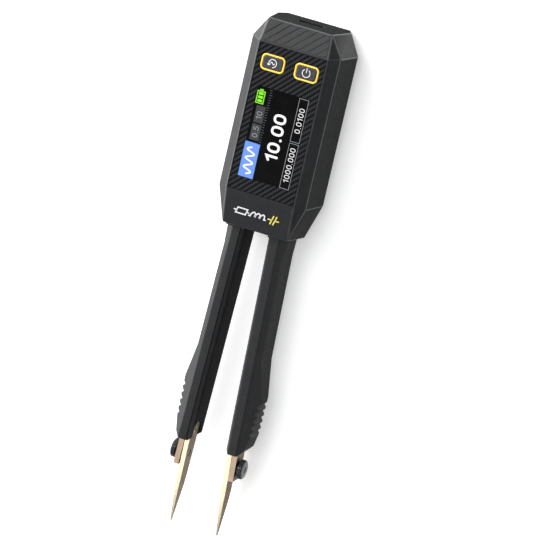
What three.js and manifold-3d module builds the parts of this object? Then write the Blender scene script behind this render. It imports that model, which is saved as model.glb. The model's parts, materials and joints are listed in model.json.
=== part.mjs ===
// Tweezers-type LCR meter: a faceted head with a display and two keys, and two sprung arms that
// carry clamped contact blades. Millimetres. The meter lies on its back: +Z is the way the display
// faces, +Y runs along the length towards the charging socket, and X is across. The origin is on
// the resting plane, under the middle of the whole length.
import * as THREE from 'three';
import { ConvexGeometry } from 'three/addons/geometries/ConvexGeometry.js';
import { mergeVertices } from 'three/addons/utils/BufferGeometryUtils.js';
import Module from 'manifold-3d';

const wasm = await Module();
wasm.setup();

// ---- driving dimensions -------------------------------------------------------------------------

const HEAD_Y = 51.3; // middle of the display panel, from the origin
const THICK = 18.2; // head thickness, back face to front rim
const WALL = 1.6; // shell walls
const SEAM_Z = 15.6; // plane where the two shells meet
const GAP = 0.1; // clearance between pieces that are fixed together

const PANEL = { halfX: 10.75, halfY: 22.55, z0: 17.15, z1: 18.02 };
const KEY = { x: 5.4, y: 17.2, ringX: 7.5, ringY: 5.0, ringWidth: 0.5, corner: 1.4, top: 18.16 };
const SCREEN = { halfX: 9.0, y0: -19.6, y1: 11.2, z0: 14.3, z1: 17.0 };

const BOARD = { halfX: 12.0, y0: -20.4, corner: 4.6, thick: 1.0 };
const MAIN_BOARD_Z = 4.5;
const UPPER_BOARD_Z = 13.1;
const BATTERY = { halfX: 8.0, y0: -15.5, y1: 14.5, z0: 7.2, z1: 12.6 };
const USB = { width: 8.94, height: 3.2, depth: 7.3, z: 7.2, wall: 0.3 };
const BOSS = { x: 11.0, low: -18.2, high: 9.2, radius: 2.1, screw: 0.9, hole: 1.05, head: 1.75 };

const PIVOT = { x: 6.6, y: 24.0, pin: 1.25, eye: 1.35, root: 3.3 };
const SPREAD = THREE.MathUtils.degToRad(1.75); // each arm leans out by this much at rest
const PIN_SEAT = 2.4; // radius of the bosses that hold the pivot pins
const ARM = {
  inner: -3.0, innerFront: -1.85, outerFront: 0.8, outer: 2.7,
  back: 2.6, front: 14.1, end: -77.0,
};
const COVER_X = -1.9; // plane between an arm's housing and its cover
const GRIP = { start: -46.5, knee: -52.5, peak: -58.0, first: -60.7, pitch: 2.24, notches: 5, rise: 2.0 };
const TIP_Z = 9.0; // middle of the contact pieces' depth
const BLADE = { inner: -2.5, outer: -1.0, top: -71.4, point: -105.2, depth: 6.2, pointZ: 8.2 };
const STRIP = { inner: -0.85, outer: 0.85, top: -62.0, end: -85.8, depth: 6.2 };
const THUMB = {
  y: -81.9, radius: 3.1, head0: 1.3, head1: 3.0,
  shank: 1.0, bore: 1.2, teeth: 26, bite: 0.28, washer: 2.3,
};
const ROUND = 20; // sides of a small round piece

// ---- solids -------------------------------------------------------------------------------------

function solid(geometry) {
  const plain = geometry.index ? geometry.clone() : geometry;
  plain.deleteAttribute('normal');
  plain.deleteAttribute('uv');
  const merged = mergeVertices(plain, 1e-5);
  return new wasm.Manifold(new wasm.Mesh({
    numProp: 3,
    vertProperties: new Float32Array(merged.attributes.position.array),
    triVerts: new Uint32Array(merged.index.array),
  }));
}

function box(x0, x1, y0, y1, z0, z1) {
  const geometry = new THREE.BoxGeometry(x1 - x0, y1 - y0, z1 - z0);
  geometry.translate((x0 + x1) / 2, (y0 + y1) / 2, (z0 + z1) / 2);
  return solid(geometry);
}

function prism(shape, z0, z1, curveSegments = 3) {
  const geometry = new THREE.ExtrudeGeometry(shape, { depth: z1 - z0, bevelEnabled: false, curveSegments });
  geometry.translate(0, 0, z0);
  return solid(geometry);
}

// A prism along Y of an outline given in X and Z.
function prismAlongY(shape, y0, y1, curveSegments = 4) {
  const geometry = new THREE.ExtrudeGeometry(shape, { depth: y1 - y0, bevelEnabled: false, curveSegments });
  geometry.rotateX(Math.PI / 2);
  geometry.translate(0, y1, 0);
  return solid(geometry);
}

// A prism along X of an outline given in Y and Z.
function prismAlongX(shape, x0, x1, curveSegments = 4) {
  const geometry = new THREE.ExtrudeGeometry(shape, { depth: x1 - x0, bevelEnabled: false, curveSegments });
  geometry.rotateZ(Math.PI / 2);
  geometry.rotateY(Math.PI / 2);
  geometry.translate(x0, 0, 0);
  return solid(geometry);
}

function rod(radius, x, y, z0, z1, sides = ROUND) {
  const geometry = new THREE.CylinderGeometry(radius, radius, z1 - z0, sides);
  geometry.rotateX(Math.PI / 2);
  geometry.translate(x, y, (z0 + z1) / 2);
  return solid(geometry);
}

function rodAlongX(radius, x0, x1, y, z, sides = ROUND) {
  const geometry = new THREE.CylinderGeometry(radius, radius, x1 - x0, sides);
  geometry.rotateZ(Math.PI / 2);
  geometry.translate((x0 + x1) / 2, y, z);
  return solid(geometry);
}

function polygon(points) {
  return new THREE.Shape(points.map(([x, y]) => new THREE.Vector2(x, y)));
}

function roundedRectangle(width, height, radius, x = 0, y = 0) {
  const w = width / 2;
  const h = height / 2;
  const shape = new THREE.Shape();
  shape.moveTo(x - w + radius, y - h);
  shape.lineTo(x + w - radius, y - h);
  shape.absarc(x + w - radius, y - h + radius, radius, -Math.PI / 2, 0);
  shape.lineTo(x + w, y + h - radius);
  shape.absarc(x + w - radius, y + h - radius, radius, 0, Math.PI / 2);
  shape.lineTo(x - w + radius, y + h);
  shape.absarc(x - w + radius, y + h - radius, radius, Math.PI / 2, Math.PI);
  shape.lineTo(x - w, y - h + radius);
  shape.absarc(x - w + radius, y - h + radius, radius, Math.PI, 1.5 * Math.PI);
  return shape;
}

function toGeometry(body, mirrored = false) {
  const mesh = body.getMesh();
  const index = Array.from(mesh.triVerts);
  const position = Float32Array.from(mesh.vertProperties);
  if (mirrored) {
    for (let i = 0; i < position.length; i += 3) position[i] = -position[i];
    for (let i = 0; i < index.length; i += 3) [index[i + 1], index[i + 2]] = [index[i + 2], index[i + 1]];
  }
  const geometry = new THREE.BufferGeometry();
  geometry.setAttribute('position', new THREE.BufferAttribute(position, 3));
  geometry.setIndex(index);
  geometry.computeVertexNormals();
  return geometry;
}

// ---- materials ----------------------------------------------------------------------------------

const finishes = {
  body: [0x36383a, 0.62, 0.0],
  panel: [0x101113, 0.18, 0.0],
  screen: [0x08090b, 0.12, 0.0],
  key: [0x2a2c2f, 0.55, 0.0],
  ring: [0xf6c52d, 0.35, 0.0],
  gold: [0xe3c47c, 0.28, 1.0],
  brass: [0xb99a6b, 0.38, 1.0],
  blackMetal: [0x121314, 0.42, 0.8],
  steel: [0x9a9da0, 0.35, 1.0],
  board: [0x12402a, 0.5, 0.0],
  battery: [0xa8abad, 0.4, 0.9],
  rubber: [0x17181a, 0.9, 0.0],
  wire: [0x9c1f1c, 0.6, 0.0],
};

function place(parent, name, finish, body, mirrored = false) {
  const [color, roughness, metalness] = finishes[finish];
  const material = new THREE.MeshStandardMaterial({ color, roughness, metalness });
  const mesh = new THREE.Mesh(toGeometry(body, mirrored), material);
  mesh.name = name;
  parent.add(mesh);
}

// ---- the head's faceted form --------------------------------------------------------------------

// Corners of the form on its +X side, with Y from the middle of the panel.
const rim = { top: [11.0, 22.8, THICK], bottom: [11.0, -22.8, THICK] };
const shoulder = { top: [14.25, 23.6, 15.8], bottom: [14.25, -23.1, 15.8] };
const flank = { top: [15.7, 23.6, 4.2], bottom: [15.7, -23.1, 4.2] };
const crown = [10.1, 30.0, 16.2]; // upper end of the top slope
const chin = [10.4, -34.1, 15.8]; // lower end of the bottom slope
const backEdge = 14.0; // half-width of the back face
const crownBack = [10.3, 30.0, 0];
const chinBack = [10.6, -34.6, 0];

function facet(a, b, c) {
  const plane = new THREE.Plane().setFromCoplanarPoints(
    new THREE.Vector3(...a), new THREE.Vector3(...b), new THREE.Vector3(...c));
  const inside = new THREE.Vector3(0, 0, THICK / 2);
  return plane.distanceToPoint(inside) > 0 ? plane.negate() : plane;
}

function mirrorPlane(plane) {
  return new THREE.Plane(plane.normal.clone().multiply(new THREE.Vector3(-1, 1, 1)), plane.constant);
}

const crownSide = [10.6, 30.0, 15.0];
const chinSide = [10.7, -34.1, 15.5];
const sideFacets = [
  facet(rim.top, rim.bottom, shoulder.top),
  facet(shoulder.top, shoulder.bottom, flank.top),
  facet(flank.top, flank.bottom, [backEdge, 0, 0]),
  facet(rim.top, shoulder.top, crown),
  facet(shoulder.top, flank.top, crownSide),
  facet(flank.top, crownBack, [12.0, 30.0, 4.2]),
  facet(rim.bottom, shoulder.bottom, chin),
  facet(shoulder.bottom, flank.bottom, chinSide),
  facet(flank.bottom, chinBack, [12.2, -34.5, 4.2]),
];
const endFacets = [
  facet(rim.top, [-11.0, 22.8, THICK], crown),
  facet(rim.bottom, [-11.0, -22.8, THICK], chin),
  facet([1, 30.0, 0], [0, 30.0, 1], [0, 30.0, 0]),
  facet([1, -34.1, 15.8], [0, -34.1, 15.8], [0, -34.6, 0]),
  facet([1, 0, 0], [0, 1, 0], [0, 0, 0]),
  facet([1, 0, THICK], [0, 1, THICK], [0, 0, THICK]),
];
const facets = [...endFacets, ...sideFacets, ...sideFacets.map(mirrorPlane)];

// The convex body inside every facet, each one moved inwards by inset.
function headForm(inset) {
  const planes = facets.map((f) => new THREE.Plane(f.normal.clone(), f.constant + inset));
  const corners = [];
  const n = planes.length;
  for (let i = 0; i < n; i += 1) {
    for (let j = i + 1; j < n; j += 1) {
      for (let k = j + 1; k < n; k += 1) {
        const matrix = new THREE.Matrix3().set(
          ...planes[i].normal.toArray(), ...planes[j].normal.toArray(), ...planes[k].normal.toArray());
        if (Math.abs(matrix.determinant()) < 1e-6) continue;
        const corner = new THREE.Vector3(-planes[i].constant, -planes[j].constant, -planes[k].constant)
          .applyMatrix3(matrix.invert());
        const within = planes.every((p) => p.distanceToPoint(corner) < 1e-6);
        if (within && !corners.some((c) => c.distanceTo(corner) < 1e-4)) corners.push(corner);
      }
    }
  }
  return solid(new ConvexGeometry(corners));
}

const FAR = 60;
const slab = (z0, z1) => box(-FAR, FAR, -FAR, FAR, z0, z1);
const both = [-1, 1];
const bossPlaces = both.flatMap((side) => [[side * BOSS.x, BOSS.low], [side * BOSS.x, BOSS.high]]);
const pivotY = PIVOT.y - HEAD_Y;

function keyHole(side, margin, z0, z1) {
  const outline = roundedRectangle(
    KEY.ringX + 2 * margin, KEY.ringY + 2 * margin, KEY.corner + margin, side * KEY.x, KEY.y);
  return prism(outline, z0, z1);
}

// A band of the shell's wall between two insets, from z0 to z1.
function band(outset, inset, z0, z1) {
  return headForm(outset).subtract(headForm(inset)).intersect(slab(z0, z1));
}

function frontShell() {
  const plateBottom = 16.35;
  const lip = { outside: WALL + 0.15, inside: WALL + 0.95, bottom: SEAM_Z - 1.0, top: 16.0 };
  let body = headForm(0).intersect(slab(SEAM_Z, THICK));
  body = body.subtract(headForm(WALL).intersect(slab(0, plateBottom)));
  body = body.add(band(lip.outside, lip.inside, lip.bottom, lip.top));
  // a wider band ties the lip to the wall
  body = body.add(band(WALL - 0.3, lip.inside, SEAM_Z + 0.15, lip.top + 0.1));
  const inside = headForm(lip.outside);
  for (const [x, y] of bossPlaces) {
    body = body.add(rod(BOSS.radius, x, y, 13.2, 16.6).intersect(inside));
  }
  for (const side of both) {
    body = body.add(rod(PIN_SEAT, side * PIVOT.x, pivotY, 14.35, 16.7).intersect(inside));
  }
  const pocket = { x: PANEL.halfX + GAP, y: PANEL.halfY + GAP };
  body = body.subtract(box(-pocket.x, pocket.x, -pocket.y, pocket.y, PANEL.z0 - GAP, FAR));
  const window = { x: SCREEN.halfX + 0.2, y0: SCREEN.y0 - 0.2, y1: SCREEN.y1 + 0.2 };
  body = body.subtract(box(-window.x, window.x, window.y0, window.y1, 12.0, FAR));
  for (const side of both) {
    body = body.subtract(keyHole(side, 0.0, 10.0, FAR));
    body = body.subtract(rod(PIVOT.pin + GAP, side * PIVOT.x, pivotY, 10.0, 15.6));
  }
  for (const [x, y] of bossPlaces) body = body.subtract(rod(BOSS.hole, x, y, 10.0, 15.7));
  return body;
}

function rearShell() {
  let body = headForm(0).intersect(slab(0, SEAM_Z - GAP));
  body = body.subtract(headForm(WALL).intersect(slab(WALL, FAR)));
  for (const [x, y] of bossPlaces) body = body.add(rod(BOSS.radius, x, y, 1.0, 13.1));
  for (const side of both) body = body.add(rod(PIN_SEAT, side * PIVOT.x, pivotY, 1.0, ARM.back - 0.25));
  body = body.add(box(-0.7, 0.7, -33.5, -22.6, 1.0, 12.0)); // rib between the two arm roots
  body = body.intersect(headForm(0));
  // the opening in the chin that an arm comes out of, with room for it to swing
  const mouth = { inner: 2.6, outer: 10.75, y0: -36.0, y1: -27.0, z0: 2.0, z1: 14.5 };
  for (const side of both) {
    const [x0, x1] = [side * mouth.inner, side * mouth.outer].sort((a, b) => a - b);
    body = body.subtract(box(x0, x1, mouth.y0, mouth.y1, mouth.z0, mouth.z1));
    body = body.subtract(rod(PIVOT.pin + GAP, side * PIVOT.x, pivotY, 0.9, 6.0));
  }
  for (const [x, y] of bossPlaces) {
    body = body.subtract(rod(BOSS.hole, x, y, -1.0, 20.0));
    body = body.subtract(rod(BOSS.head + GAP, x, y, -1.0, 1.3));
  }
  const [slotX, slotZ] = [USB.width + 0.3, USB.height + 0.3];
  const slot = roundedRectangle(slotX, slotZ, slotZ / 2 - 0.01, 0, USB.z);
  body = body.subtract(prismAlongY(slot, 27.0, 32.0));
  return body;
}

function frontPanel() {
  const { halfX, halfY, z0, z1 } = PANEL;
  let body = prism(roundedRectangle(2 * halfX, 2 * halfY, 0.4), z0, z1);
  for (const side of both) body = body.subtract(keyHole(side, GAP, 0, FAR));
  return body;
}

function keyRing(side) {
  const inner = roundedRectangle(KEY.ringX - 2 * KEY.ringWidth, KEY.ringY - 2 * KEY.ringWidth,
    KEY.corner - KEY.ringWidth, side * KEY.x, KEY.y);
  return keyHole(side, 0, 17.2, 18.1).subtract(prism(inner, 0, FAR));
}

const plunger = { radius: 0.8, z0: 15.2, z1: 16.1 };

function keyCap(side) {
  const x = side * KEY.x;
  const pad = (shrink) => roundedRectangle(
    KEY.ringX - 2 * shrink, KEY.ringY - 2 * shrink, KEY.corner - shrink, x, KEY.y);
  const cap = prism(pad(KEY.ringWidth + 0.1), 16.6, KEY.top);
  const flange = prism(pad(0.2), 16.55, 17.1); // under the ring, so the cap can't fall out
  const stem = rod(1.2, x, KEY.y, plunger.z1 + 0.05, 16.7);
  return cap.add(flange).add(stem);
}

function keySwitch(side) {
  const x = side * KEY.x;
  const z = UPPER_BOARD_Z + BOARD.thick;
  const body = box(x - 2.2, x + 2.2, KEY.y - 1.6, KEY.y + 1.6, z + 0.05, 15.5);
  return body.subtract(rod(plunger.radius + 0.1, x, KEY.y, z + 0.5, FAR));
}

function keyPlunger(side) {
  return rod(plunger.radius, side * KEY.x, KEY.y, plunger.z0, plunger.z1);
}

function screenModule() {
  const { halfX, y0, y1, z0, z1 } = SCREEN;
  const glass = box(-halfX + 0.5, halfX - 0.5, y0 + 2.6, y1 - 0.6, z1 - 0.9, z1 - 0.02);
  return box(-halfX, halfX, y0, y1, z0, z1 - 0.8).add(glass);
}

function boardOutline(z, { top, bottom, halfX }) {
  const corner = BOARD.corner;
  let body = prism(polygon([
    [-halfX, bottom], [halfX, bottom], [halfX, top - corner * 1.3], [halfX - corner, top],
    [-halfX + corner, top], [-halfX, top - corner * 1.3],
  ]), z, z + BOARD.thick);
  const reach = BOSS.radius + 0.4;
  for (const [x, y] of bossPlaces) {
    const x0 = x > 0 ? x - reach : -FAR;
    const x1 = x > 0 ? FAR : x + reach;
    body = body.subtract(box(x0, x1, y - reach, y + reach, z - 1, z + 3));
  }
  return body;
}

const header = { x0: -6.5, x1: 6.5, y0: 16.4, y1: 18.9 }; // joins the two boards

function usbSocket() {
  const { width, height, depth, wall } = USB;
  const outline = (shrink) => roundedRectangle(
    width - 2 * shrink, height - 2 * shrink, height / 2 - shrink - 0.01, 0, USB.z);
  const front = 30.0 - 0.12;
  const shell = prismAlongY(outline(0), front - depth, front);
  const hollow = prismAlongY(outline(wall), front - depth + 1.2, front + 5);
  const tongue = box(-3.3, 3.3, front - depth + 0.8, front - 1.3, USB.z - 0.35, USB.z + 0.35);
  return shell.subtract(hollow).add(tongue);
}

function caseScrew([x, y]) {
  const head = new THREE.CylinderGeometry(BOSS.screw, BOSS.head, 0.9, ROUND);
  head.rotateX(Math.PI / 2);
  head.translate(x, y, 0.7);
  let body = solid(head).add(rod(BOSS.screw, x, y, 1.0, 15.2));
  for (const turn of [0, Math.PI / 2]) {
    const slot = new THREE.BoxGeometry(1.7, 0.36, 0.9);
    slot.rotateZ(turn);
    slot.translate(x, y, 0.3);
    body = body.subtract(solid(slot));
  }
  return body;
}

// A closed coil round the pivot pin, with one leg to the rib and one along the arm.
function torsionSpring() {
  const turns = 3;
  const coil = { radius: 1.95, wire: 0.3, z0: 6.9, pitch: 0.95 };
  const points = [];
  points.push(new THREE.Vector3(-4.6, 0.9, coil.z0));
  points.push(new THREE.Vector3(-2.6, coil.radius, coil.z0));
  const steps = turns * 16 + 8;
  for (let i = 2; i <= steps; i += 1) {
    const a = Math.PI / 2 - (i / 16) * 2 * Math.PI;
    const z = coil.z0 + (i / 16) * coil.pitch;
    points.push(new THREE.Vector3(coil.radius * Math.cos(a), coil.radius * Math.sin(a), z));
  }
  const last = points[points.length - 1];
  points.push(new THREE.Vector3(last.x - 1.2, last.y - 0.4, last.z + 0.1));
  const path = new THREE.CatmullRomCurve3(points, false, 'centripetal');
  const section = new THREE.Shape().absarc(0, 0, coil.wire, 0, 2 * Math.PI);
  return solid(new THREE.ExtrudeGeometry(section, {
    steps: 84, curveSegments: 3, bevelEnabled: false, extrudePath: path,
  }));
}

// ---- one arm, drawn for the +X side from its pivot, running towards -Y --------------------------

function armOutline() {
  const { inner, outer, end } = ARM;
  const shape = new THREE.Shape();
  shape.moveTo(PIVOT.root, 0);
  shape.absarc(0, 0, PIVOT.root, 0, Math.PI);
  shape.lineTo(-PIVOT.root, -3.0);
  shape.lineTo(inner, -6.0);
  shape.lineTo(inner, end + 0.9);
  shape.lineTo(inner + 0.8, end);
  shape.lineTo(ARM.outerFront + 0.2, end);
  shape.lineTo(outer - 0.2, end + 1.7);
  const last = GRIP.first - GRIP.pitch * (GRIP.notches - 1);
  for (let i = GRIP.notches - 1; i >= 0; i -= 1) {
    const y = GRIP.first - GRIP.pitch * i;
    const crest = outer + 1.9 - 0.15 * i;
    const valley = outer + 0.85 - 0.12 * i;
    if (i === GRIP.notches - 1) shape.lineTo(crest - 0.2, last - 1.1);
    shape.lineTo(crest, y - 0.75);
    shape.lineTo(valley, y - 0.1);
    shape.lineTo(crest, y + 0.75);
  }
  shape.lineTo(outer + GRIP.rise, GRIP.peak);
  shape.lineTo(outer + GRIP.rise / 2, GRIP.knee);
  shape.lineTo(outer, GRIP.start);
  shape.lineTo(outer, -13.5);
  shape.lineTo(PIVOT.root, -7.5);
  shape.closePath();
  return shape;
}

function armForm() {
  const section = polygon([
    [ARM.inner, 3.5], [ARM.inner, 12.5], [ARM.innerFront, ARM.front], [ARM.outerFront, ARM.front],
    [5.0, 10.4], [5.0, 5.8], [1.8, ARM.back], [-2.1, ARM.back],
  ]);
  const root = box(-5, 5, -7.6, 5, ARM.back, ARM.front);
  const limits = prismAlongY(section, ARM.end - 1, -7.6).add(root);
  return prism(armOutline(), ARM.back, ARM.front, 10).intersect(limits);
}

const SLOT_Y = BLADE.top - BLADE.depth / 2 - 0.6; // middle of the blade's slot, and its peg

function tipSlot(margin) {
  const half = BLADE.depth / 2 + margin;
  const shape = new THREE.Shape();
  shape.moveTo(ARM.end - 2, TIP_Z - half);
  shape.lineTo(BLADE.top - BLADE.depth / 2, TIP_Z - half);
  shape.absarc(BLADE.top - BLADE.depth / 2, TIP_Z, half, -Math.PI / 2, Math.PI / 2);
  shape.lineTo(ARM.end - 2, TIP_Z + half);
  return shape;
}

const channel = { x1: 1.5, z0: 4.1, z1: 12.6, y0: -70.5, y1: -6.4 };
const springBay = { z0: 5.6, z1: 11.3 };

function armHousing() {
  const behindCover = box(COVER_X + 0.05, FAR, -FAR * 2, FAR, 0, FAR);
  const root = box(-FAR, FAR, -6.0, FAR, 0, FAR);
  let body = armForm().intersect(behindCover.add(root));
  body = body.subtract(box(COVER_X - 5, channel.x1, channel.y0, channel.y1, channel.z0, channel.z1));
  body = body.subtract(rod(PIVOT.eye, 0, 0, 0, FAR));
  body = body.subtract(box(-FAR, FAR, -4.4, FAR, springBay.z0, springBay.z1));
  body = body.subtract(box(-1.4, 1.4, -8.0, -4.0, 7.4, 10.4)); // passage for the lead
  const strip = { half: STRIP.depth / 2 + 0.15, x1: STRIP.outer + 0.15 };
  const seat = { x0: ARM.inner, y0: ARM.end - 1, y1: channel.y0 + 1 };
  body = body.subtract(
    box(seat.x0, strip.x1, seat.y0, seat.y1, TIP_Z - strip.half, TIP_Z + strip.half));
  return body;
}

function armCover() {
  let body = armForm().intersect(box(-FAR, COVER_X - 0.05, -FAR * 2, -6.2, 0, FAR));
  body = body.subtract(prismAlongX(tipSlot(0.15), -FAR, FAR, 8));
  return body;
}

function blade() {
  const half = BLADE.depth / 2;
  const side = new THREE.Shape();
  side.moveTo(BLADE.point, BLADE.pointZ);
  side.lineTo(-93.5, TIP_Z - half + 0.1);
  side.lineTo(BLADE.top - half, TIP_Z - half);
  side.absarc(BLADE.top - half, TIP_Z, half, -Math.PI / 2, Math.PI / 2);
  side.lineTo(-78.0, TIP_Z + half);
  side.lineTo(-94.0, 10.7);
  side.lineTo(BLADE.point, BLADE.pointZ + 0.25);
  const plan = polygon([
    [BLADE.inner, -60], [BLADE.inner, -90], [-2.2, BLADE.point], [-1.95, BLADE.point - 0.1],
    [-1.75, BLADE.point], [BLADE.outer, -90], [BLADE.outer, -60],
  ]);
  let body = prismAlongX(side, -4, 2, 8).intersect(prism(plan, 0, 20));
  const slot = roundedRectangle(3.4, 1.5, 0.74, SLOT_Y, TIP_Z);
  body = body.subtract(prismAlongX(slot, -5, 5, 5));
  return body.subtract(rodAlongX(THUMB.bore, -5, 5, THUMB.y, TIP_Z));
}

function clampStrip() {
  const half = STRIP.depth / 2;
  let body = box(STRIP.inner, STRIP.outer, STRIP.end, -72.0, TIP_Z - half, TIP_Z + half);
  body = body.add(box(STRIP.inner, -0.05, -72.5, STRIP.top, TIP_Z - 2.0, TIP_Z + 2.0));
  return body.subtract(rodAlongX(THUMB.bore, -5, 5, THUMB.y, TIP_Z));
}

function locatingPeg() {
  return rodAlongX(0.6, BLADE.inner + 0.2, STRIP.inner - 0.05, SLOT_Y, TIP_Z, 16);
}

function conductor() {
  return box(0.05, 0.55, -70.0, -5.0, TIP_Z - 1.3, TIP_Z + 1.3);
}

// The insulated lead from the main board into the arm's root, past the pivot pin.
function lead() {
  const points = [
    [-3.6, 7.6, 6.1], [-4.2, 4.0, 7.3], [-4.4, -0.6, 8.6], [-3.2, -3.3, 9.0], [-1.2, -3.5, 9.0],
  ];
  const path = new THREE.CatmullRomCurve3(points.map((p) => new THREE.Vector3(...p)), false, 'centripetal');
  const section = new THREE.Shape().absarc(0, 0, 0.45, 0, 2 * Math.PI);
  return solid(new THREE.ExtrudeGeometry(section, {
    steps: 20, curveSegments: 4, bevelEnabled: false, extrudePath: path,
  }));
}

function thumbWasher() {
  const disc = rodAlongX(THUMB.washer, STRIP.outer + 0.06, THUMB.head0 - 0.06, THUMB.y, TIP_Z);
  return disc.subtract(rodAlongX(THUMB.bore, -5, 5, THUMB.y, TIP_Z));
}

function thumbScrew() {
  const outline = new THREE.Shape();
  for (let i = 0; i < THUMB.teeth * 2; i += 1) {
    const a = (i / (THUMB.teeth * 2)) * 2 * Math.PI;
    const r = i % 2 ? THUMB.radius - THUMB.bite : THUMB.radius;
    const point = [THUMB.y + r * Math.cos(a), TIP_Z + r * Math.sin(a)];
    if (i === 0) outline.moveTo(...point);
    else outline.lineTo(...point);
  }
  const knurled = prismAlongX(outline, THUMB.head0, THUMB.head1);
  const length = THUMB.head1 - THUMB.head0 + 0.4;
  const barrel = new THREE.CylinderGeometry(THUMB.radius - 0.75, THUMB.radius + 0.25, length, 36);
  barrel.rotateZ(-Math.PI / 2); // narrows towards the outer face
  barrel.translate((THUMB.head0 + THUMB.head1) / 2 + 0.2, THUMB.y, TIP_Z);
  const body = knurled.intersect(solid(barrel));
  return body.add(rodAlongX(THUMB.shank, BLADE.inner + 0.1, THUMB.head0 + 0.2, THUMB.y, TIP_Z));
}

// ---- assembly -----------------------------------------------------------------------------------

const group = new THREE.Group();
const head = new THREE.Group();
head.position.y = HEAD_Y;
group.add(head);

place(head, 'front_shell', 'body', frontShell());
place(head, 'rear_shell', 'body', rearShell());
place(head, 'front_panel', 'panel', frontPanel());
place(head, 'display_module', 'screen', screenModule());
const { halfX: boardX, y0: boardY0 } = BOARD;
const boards = [
  ['main_board', MAIN_BOARD_Z, { top: 26.8, bottom: boardY0, halfX: boardX }],
  ['upper_board', UPPER_BOARD_Z, { top: 26.0, bottom: boardY0, halfX: boardX - 1.4 }],
];
for (const [name, z, size] of boards) place(head, name, 'board', boardOutline(z, size));
const underBoard = MAIN_BOARD_Z + BOARD.thick;
place(head, 'board_header', 'rubber',
  box(header.x0, header.x1, header.y0, header.y1, underBoard + 0.05, UPPER_BOARD_Z - 0.05));
place(head, 'shield_can', 'steel', box(-6.5, 6.5, -14.0, 1.0, underBoard + 0.05, 6.9));
place(head, 'processor_chip', 'rubber', box(-3.5, 3.5, 4.0, 11.0, underBoard + 0.05, 6.5));
const { halfX: cellX, y0: cellY0, y1: cellY1, z0: cellZ0, z1: cellZ1 } = BATTERY;
place(head, 'battery', 'battery', box(-cellX, cellX, cellY0, cellY1, cellZ0, cellZ1));
place(head, 'battery_pad', 'rubber', box(-6.0, 6.0, -12.0, 11.0, cellZ1 + 0.05, UPPER_BOARD_Z - 0.05));
place(head, 'usb_socket', 'steel', usbSocket());
bossPlaces.forEach((spot, i) => place(head, `case_screw_${i + 1}`, 'steel', caseScrew(spot)));

for (const [name, side] of [['mode', -1], ['power', 1]]) {
  place(head, `${name}_ring`, 'ring', keyRing(side));
  place(head, `${name}_key`, 'key', keyCap(side));
  place(head, `${name}_plunger`, 'rubber', keyPlunger(side));
  place(head, `${name}_switch`, 'steel', keySwitch(side));
}

for (const [name, side] of [['left', -1], ['right', 1]]) {
  const mirrored = side < 0;
  const hub = new THREE.Group(); // stays with the head
  hub.position.set(side * PIVOT.x, PIVOT.y, 0);
  group.add(hub);
  place(hub, `${name}_pivot_pin`, 'steel', rod(PIVOT.pin, 0, 0, 1.1, 15.0));
  place(hub, `${name}_spring`, 'steel', torsionSpring(), mirrored);
  place(hub, `${name}_lead`, 'wire', lead(), mirrored);

  const arm = new THREE.Group();
  arm.position.copy(hub.position);
  arm.rotation.z = side * SPREAD;
  group.add(arm);
  place(arm, `${name}_arm_housing`, 'body', armHousing(), mirrored);
  place(arm, `${name}_arm_cover`, 'body', armCover(), mirrored);
  place(arm, `${name}_conductor`, 'brass', conductor(), mirrored);
  place(arm, `${name}_clamp_strip`, 'brass', clampStrip(), mirrored);
  place(arm, `${name}_blade`, 'gold', blade(), mirrored);
  place(arm, `${name}_locating_peg`, 'steel', locatingPeg(), mirrored);
  place(arm, `${name}_washer`, 'blackMetal', thumbWasher(), mirrored);
  place(arm, `${name}_thumb_screw`, 'blackMetal', thumbScrew(), mirrored);
}

export default group;
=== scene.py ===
"""The looks of a tweezers-type LCR meter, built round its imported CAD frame.

Metres, in the frame's own axes: the meter lies on its back, +Z is the way the display faces, +Y runs
along the length towards the charging socket, and X is across.
"""
import json
import math

import bmesh
import bpy
from mathutils import Matrix, Vector


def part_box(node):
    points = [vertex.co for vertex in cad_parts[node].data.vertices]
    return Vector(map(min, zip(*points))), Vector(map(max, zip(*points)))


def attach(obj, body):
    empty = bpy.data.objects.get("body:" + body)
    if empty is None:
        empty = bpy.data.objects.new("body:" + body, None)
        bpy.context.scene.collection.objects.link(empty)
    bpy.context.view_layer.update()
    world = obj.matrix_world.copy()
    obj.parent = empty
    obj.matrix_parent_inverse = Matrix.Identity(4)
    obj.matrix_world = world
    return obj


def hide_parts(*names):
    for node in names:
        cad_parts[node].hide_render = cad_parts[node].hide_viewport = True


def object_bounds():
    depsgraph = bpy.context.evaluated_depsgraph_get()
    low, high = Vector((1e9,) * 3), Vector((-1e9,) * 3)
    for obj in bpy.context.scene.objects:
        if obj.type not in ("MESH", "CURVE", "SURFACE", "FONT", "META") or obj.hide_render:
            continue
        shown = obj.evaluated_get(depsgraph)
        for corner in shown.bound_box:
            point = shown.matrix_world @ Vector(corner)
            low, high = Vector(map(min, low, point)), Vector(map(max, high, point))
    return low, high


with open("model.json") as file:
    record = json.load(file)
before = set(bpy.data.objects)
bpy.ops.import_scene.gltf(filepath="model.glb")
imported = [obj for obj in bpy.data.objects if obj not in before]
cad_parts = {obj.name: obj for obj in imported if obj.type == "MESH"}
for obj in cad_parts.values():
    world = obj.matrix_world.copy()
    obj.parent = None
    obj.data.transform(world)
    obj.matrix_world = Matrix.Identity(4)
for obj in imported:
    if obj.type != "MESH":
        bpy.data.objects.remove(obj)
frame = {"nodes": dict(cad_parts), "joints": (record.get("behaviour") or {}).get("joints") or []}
CAD_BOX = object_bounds()
MM = 0.001
NODES = frame["nodes"]
SIDES = ("left", "right")
KEYS = ("mode", "power")
UP = Vector((0, 0, 1))
GRAIN, GRAIN_DEPTH = 0.24 * MM, 0.018 * MM   # of the moulded case
PIXEL = 0.12 * MM                            # the display's pitch
WELD = 0.002 * MM                            # points closer than this are one
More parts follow.
